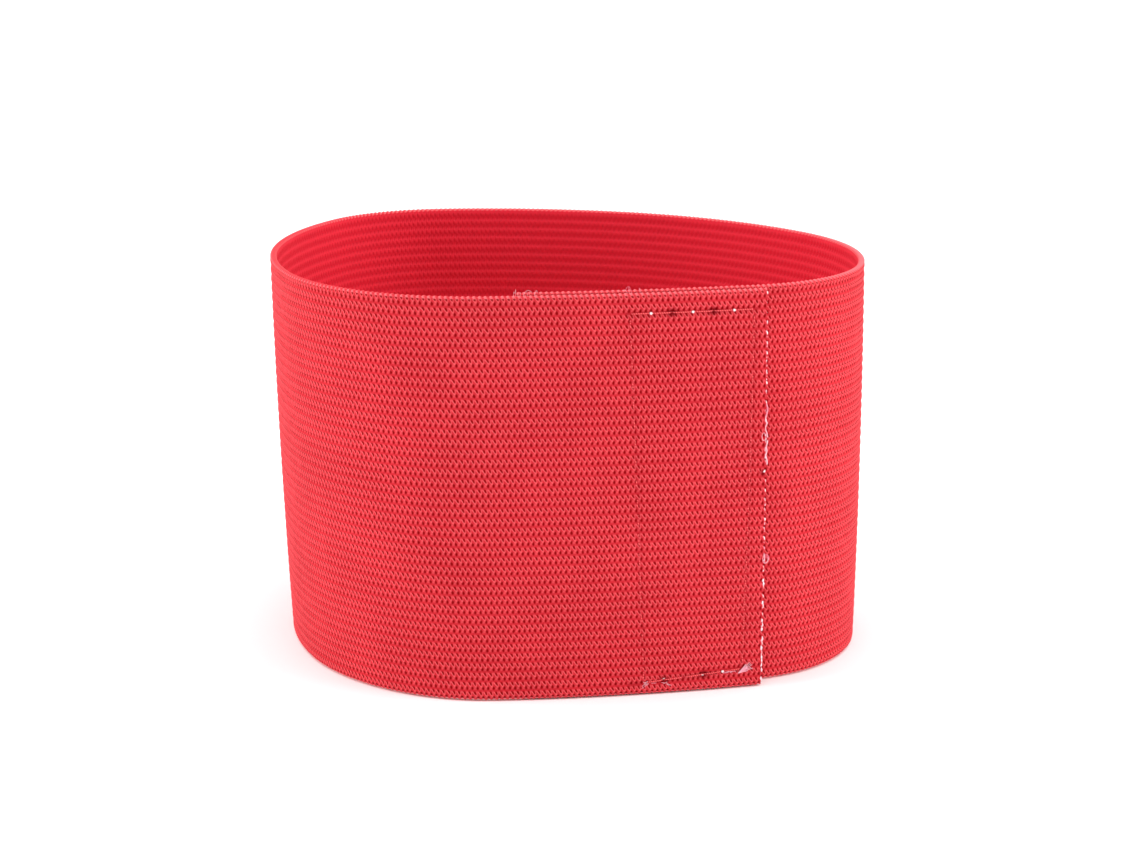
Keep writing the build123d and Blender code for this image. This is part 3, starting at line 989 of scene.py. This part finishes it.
# %% Fibres as curves
def fibres(name, lines, thickness, material=frayed):
    """Loose fibres: each line is a list of flat points (along, out, up) for a thread to follow."""
    start_fresh()
    curve = bpy.data.curves.new(name, "CURVE")
    curve.dimensions = "3D"
    curve.bevel_depth = thickness / 2
    curve.bevel_resolution = 1
    curve.resolution_u = 6
    for line in lines:
        spline = curve.splines.new("NURBS")
        spline.points.add(len(line) - 1)
        for point, where in zip(spline.points, line):
            point.co = (where[0], where[2], where[1], 1)
        spline.order_u = 3
        spline.use_endpoint_u = True
    model = bpy.data.objects.new(name, curve)
    bpy.context.collection.objects.link(model)
    bpy.context.view_layer.objects.active = model
    model.select_set(True)
    bpy.ops.object.convert(target="MESH")
    points, faces = taken()
    piece = strip_mesh(name, points[:, [0, 2, 1]], faces)
    piece.data.materials.append(material)
    return piece


EDGE = STRIP_LENGTH


def wavy(top, low, pace, start):
    """A strand that wanders down the edge from one height to another."""
    heights = np.arange(top, low, -0.6)
    outs = 0.55 + 0.1 * np.cos(heights * pace)
    return list(zip(EDGE + 0.12 + 0.22 * np.sin(heights * pace + start), outs, heights))


strands = [
    wavy(57.5, 53.2, 1.7, 0.0),
    wavy(53.8, 50.6, 2.1, 1.0),
    wavy(50.2, 45.2, 1.5, 2.0),
    wavy(49.0, 46.4, 2.3, 4.0),
]
curl = []
for a in np.linspace(0, 4.6 * math.pi, 24):
    s = EDGE + 0.3 + 0.8 * math.cos(a) * (1 - 0.05 * a)
    curl.append((s, 0.75 + 0.06 * a, 26.3 + 1.0 * math.sin(a * 1.04) * (1 - 0.03 * a)))
small_loop = []
for a in np.linspace(0.4, 5.4, 9):
    small_loop.append((EDGE - 0.45 + 0.4 * math.cos(a), 0.8, 51.0 + 0.8 * math.sin(a)))
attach(fibres("loose_strands", strands, 0.26), "flap_5")
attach(fibres("curled_thread", [curl, small_loop], 0.09, pink_fray), "flap_5")

rim_lines = []
for centre, spread, count in ((1.7, 2.6, 7), (22.0, 1.8, 4)):
    for _ in range(count):
        s = centre + chance.uniform(-spread, spread)
        lean, rise_up = chance.uniform(-1.6, 1.6), chance.uniform(0.2, 1.0)
        root, bow = (s, 0.9, 79.0), (s + lean * 0.3, 1.1, 79.6 + rise_up)
        bend_over, tip = (s + lean, 1.4, 80.0 + rise_up), (s + lean * 1.3, 1.5, 80.1)
        rim_lines.append([root, bow, bend_over, tip])
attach(fibres("rim_fibres", rim_lines, 0.07), "underlap")

FAN_FIBRES = 22
wedge = []
for number in range(FAN_FIBRES):
    fan = number / (FAN_FIBRES - 1) - 0.5
    root = (SEAM_RIGHT - 2.5, 0.62, 2.9)
    reach = chance.uniform(1.0, 2.2) if number % 5 else chance.uniform(2.4, 3.2)
    middle = (root[0] + reach * 0.5, 0.85, 3.1 + fan * 0.8 + reach * 0.25)
    wedge.append([root, middle, (root[0] + reach, 0.75, 3.1 + fan * 1.7 + reach * 0.5)])
for _ in range(5):
    s, run = SEAM_RIGHT - chance.uniform(2.6, 4.0), chance.uniform(0.8, 1.8)
    wedge.append([(s, 0.6, 3.4), (s - run / 2, 0.8, 3.6), (s - run, 0.65, 3.2)])
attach(fibres("corner_fray", wedge, 0.1, pink_fray), "flap_5")

worn = []
for centre, count in ((-23.6, 9), (-20.5, 4)):
    for _ in range(count):
        s, z = EDGE + centre + chance.uniform(-1.2, 1.2), chance.uniform(1.0, 2.6)
        run, climb = chance.uniform(0.4, 1.1), chance.uniform(-0.5, 0.7)
        worn.append([(s, 0.6, z), (s + run / 2, 0.75, z + climb * 0.7), (s + run, 0.62, z + climb)])
bend(fibres("worn_fibres", worn, 0.07, pink_fray))
print(len(rim_lines), "rim fibres,", len(wedge), "fibres at the corner")

# %% [markdown]
# ## Stage, light and camera
# A pale floor runs up into a pale wall, as a roll of studio paper does. Large soft lights from
# above and both sides keep the shadows weak. The camera looks slightly down at the closure.

# %% Floor and backdrop
paper = bpy.data.materials.new("studio paper")
paper.use_nodes = True
grain = add_node(paper.node_tree, "ShaderNodeTexNoise", {"Scale": 30.0})
paper.node_tree.links.new(
    tint(paper.node_tree, grain.outputs[0], dye(250, 250, 250), dye(255, 255, 255)),
    paper.node_tree.nodes["Principled BSDF"].inputs["Base Color"],
)
paper.node_tree.nodes["Principled BSDF"].inputs["Roughness"].default_value = 0.9
start_fresh()
bpy.ops.mesh.primitive_plane_add(size=6.0, location=(0, 0, -0.0002))
bpy.ops.object.mode_set(mode="EDIT")
select_verts(lambda co: co.y > 2.9)
bpy.ops.mesh.extrude_region_move(TRANSFORM_OT_translate={"value": (0, 0, 3.0)})
bpy.ops.object.mode_set(mode="OBJECT")
floor = bpy.context.object
floor.name = "floor"
floor.data.materials.append(paper)
floor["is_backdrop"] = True
print("floor", tuple(floor.dimensions))

# %% Lights
world = bpy.data.worlds.new("studio")
world.use_nodes = True
world.node_tree.nodes["Background"].inputs[0].default_value = (1, 1, 1, 1)
world.node_tree.nodes["Background"].inputs[1].default_value = 0.5
bpy.context.scene.world = world


def soft_light(name, spot, size, power):
    """A square area light that points at the middle of the band."""
    lamp = bpy.data.lights.new(name, "AREA")
    lamp.size, lamp.energy = size, power
    holder = bpy.data.objects.new(name, lamp)
    holder.location = spot
    holder.rotation_euler = (Vector((0, 0, 0.04)) - Vector(spot)).to_track_quat("-Z", "Y").to_euler()
    bpy.context.collection.objects.link(holder)


soft_light("left", (-1.2, -0.15, 0.4), 0.9, 13.0)
soft_light("right", (1.2, -0.2, 0.4), 0.9, 13.5)
overhead = bpy.data.lights.new("overhead", "SUN")
overhead.energy, overhead.angle = 1.95, math.radians(70)
overhead_holder = bpy.data.objects.new("overhead", overhead)
overhead_holder.location = (0, 0, 1)
bpy.context.collection.objects.link(overhead_holder)
print("two soft side lights and one from overhead")

# %% Camera
LENS = 72.04
EYE = Vector((0.00411, -0.46537, 0.16371))
PITCH, YAW, ROLL = (math.radians(angle) for angle in (14.701, -0.388, 0.139))
ahead = Vector((math.sin(YAW) * math.cos(PITCH), math.cos(YAW) * math.cos(PITCH), -math.sin(PITCH)))
level = Vector((math.cos(YAW), -math.sin(YAW), 0))
upright = level.cross(ahead)
right = level * math.cos(ROLL) + upright * math.sin(ROLL)
top = upright * math.cos(ROLL) - level * math.sin(ROLL)
lens = bpy.data.cameras.new("camera")
lens.lens, lens.sensor_width = LENS, 36.0
lens.clip_start, lens.clip_end = 0.01, 20.0
camera = bpy.data.objects.new("camera", lens)
camera.matrix_world = Matrix.Translation(EYE) @ Matrix((right, top, -ahead)).transposed().to_4x4()
bpy.context.collection.objects.link(camera)
bpy.context.scene.camera = camera
bpy.context.scene.view_settings.view_transform = "Standard"
print("camera at", tuple(EYE))

# %% [markdown]
# The soft pieces may stand a little outside the CAD box. The last line prints the box round the
# visible pieces.

# %% Print the visual box
low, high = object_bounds()
print("visual box", [round(v * 1000, 2) for v in (*low, *high)])
